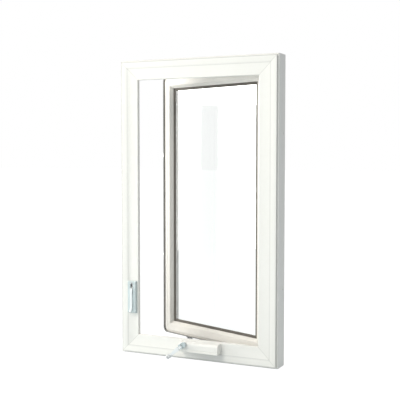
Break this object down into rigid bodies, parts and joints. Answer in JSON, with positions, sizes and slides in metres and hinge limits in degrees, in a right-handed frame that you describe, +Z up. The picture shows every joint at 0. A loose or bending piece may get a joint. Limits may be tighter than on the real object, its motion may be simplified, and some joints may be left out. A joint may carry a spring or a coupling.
{
  "type": "casement window",
  "caption": "Crank-out casement window: mitred white vinyl frame, glazed sash on pivot hinges, folding-crank operator on the sill and lever lock with tie bar.",
  "frame": {"origin": "on the bottom face of the sill, at the middle of the frame's width and depth", "axes": "+X to the hinge side seen from the room, +Y to the weather side, +Z up"},
  "size_m": [0.61, 0.314, 1.067],
  "materials": {
    "frame_vinyl": "satin extruded vinyl",
    "sash_vinyl": "satin extruded vinyl",
    "weatherstrip": "soft black seal",
    "glass": "clear float glass",
    "spacer": "mill spacer bar",
    "steel": "zinc-plated steel",
    "cast": "plain zinc casting",
    "bronze": "sintered bronze",
    "painted": "white powder coat",
    "knob": "moulded white knob",
    "nylon": "moulded nylon"
  },
  "bodies": {
    "frame": {"sill": "frame_vinyl", "head": "frame_vinyl", "hinge_jamb": "frame_vinyl", "lock_jamb": "frame_vinyl", "frame_seal": "weatherstrip", "weep_covers": "frame_vinyl", "hinge_plate_lower": "steel", "hinge_plate_upper": "steel", "hinge_washers": "nylon", "hinge_screws": "steel", "operator_base": "cast", "operator_lid": "cast", "operator_cover": "painted", "operator_screws": "steel", "spindle_bush": "bronze", "wheel_pin": "steel", "arm_pin": "steel", "lock_escutcheon": "painted", "lock_case": "steel", "lock_screws": "steel", "bar_guides": "nylon", "guide_screws": "steel"},
    "sash": {"sash_bottom_rail": "sash_vinyl", "sash_top_rail": "sash_vinyl", "sash_hinge_stile": "sash_vinyl", "sash_lock_stile": "sash_vinyl", "sash_seal": "weatherstrip", "bead_bottom": "sash_vinyl", "bead_top": "sash_vinyl", "bead_hinge_side": "sash_vinyl", "bead_lock_side": "sash_vinyl", "glazing_gasket": "weatherstrip", "inner_pane": "glass", "outer_pane": "glass", "glass_spacer": "spacer", "glazing_tape": "weatherstrip", "setting_blocks": "weatherstrip", "sash_plate_lower": "steel", "sash_plate_upper": "steel", "sash_plate_screws": "steel", "sash_track": "steel", "track_screws": "steel", "keepers": "steel", "keeper_screws": "steel"},
    "operator_arm": {"operator_arm": "steel"},
    "guide_roller": {"guide_roller": "nylon"},
    "worm_wheel": {"worm_wheel": "bronze"},
    "spindle": {"worm_spindle": "steel", "crank_hub": "painted", "set_screw": "steel", "fold_pin": "steel"},
    "crank": {"crank_arm": "painted", "knob_cap": "steel"},
    "knob": {"crank_knob": "knob"},
    "lock_lever": {"lock_lever": "painted"},
    "tie_bar": {"lock_slide": "steel", "tie_bar": "steel", "lock_rollers": "steel"}
  },
  "joints": [
    {"name": "sash_swing", "type": "hinge", "parent": "frame", "child": "sash", "pos_m": [0.257, 0.011, 0.5], "axis": [0, 0, -1], "range_deg": [-21, 41]},
    {"name": "arm_turn", "type": "hinge", "parent": "frame", "child": "operator_arm", "pos_m": [0.0222, -0.029, 0.04], "axis": [0, 0, -1], "range_deg": [-42, 82]},
    {"name": "roller_spin", "type": "hinge", "parent": "operator_arm", "child": "guide_roller", "pos_m": [-0.12552, 0.15784, 0.045], "axis": [0, 0, 1], "continuous": true},
    {"name": "wheel_turn", "type": "hinge", "parent": "frame", "child": "worm_wheel", "pos_m": [-0.0186, -0.029, 0.055], "axis": [0, 0, 1], "range_deg": [-100.8, 196.8]},
    {"name": "spindle_turn", "type": "hinge", "parent": "frame", "child": "spindle", "pos_m": [-0.037, -0.035, 0.055], "axis": [0, 1, 0], "range_deg": [-1512, 2952]},
    {"name": "crank_fold", "type": "hinge", "parent": "spindle", "child": "crank", "pos_m": [-0.037, -0.081, 0.055], "axis": [-0.6561, 0, 0.7547], "range_deg": [0, 165]},
    {"name": "knob_spin", "type": "hinge", "parent": "crank", "child": "knob", "pos_m": [-0.07926, -0.081, 0.01826], "axis": [0, -1, 0], "continuous": true},
    {"name": "lock_turn", "type": "hinge", "parent": "frame", "child": "lock_lever", "pos_m": [-0.256, -0.034, 0.238], "axis": [-1, 0, 0], "range_deg": [0, 105]},
    {"name": "tie_bar_slide", "type": "slide", "parent": "frame", "child": "tie_bar", "axis": [0, 0, -1], "range_m": [0, 0.01155]}
  ],
  "couplings": [
    {"joint": "arm_turn", "follows": "sash_swing", "ratio": 2},
    {"joint": "wheel_turn", "follows": "sash_swing", "ratio": 4.8},
    {"joint": "spindle_turn", "follows": "sash_swing", "ratio": 72},
    {"joint": "tie_bar_slide", "follows": "lock_turn", "m_per_rad": 0.00625}
  ]
}
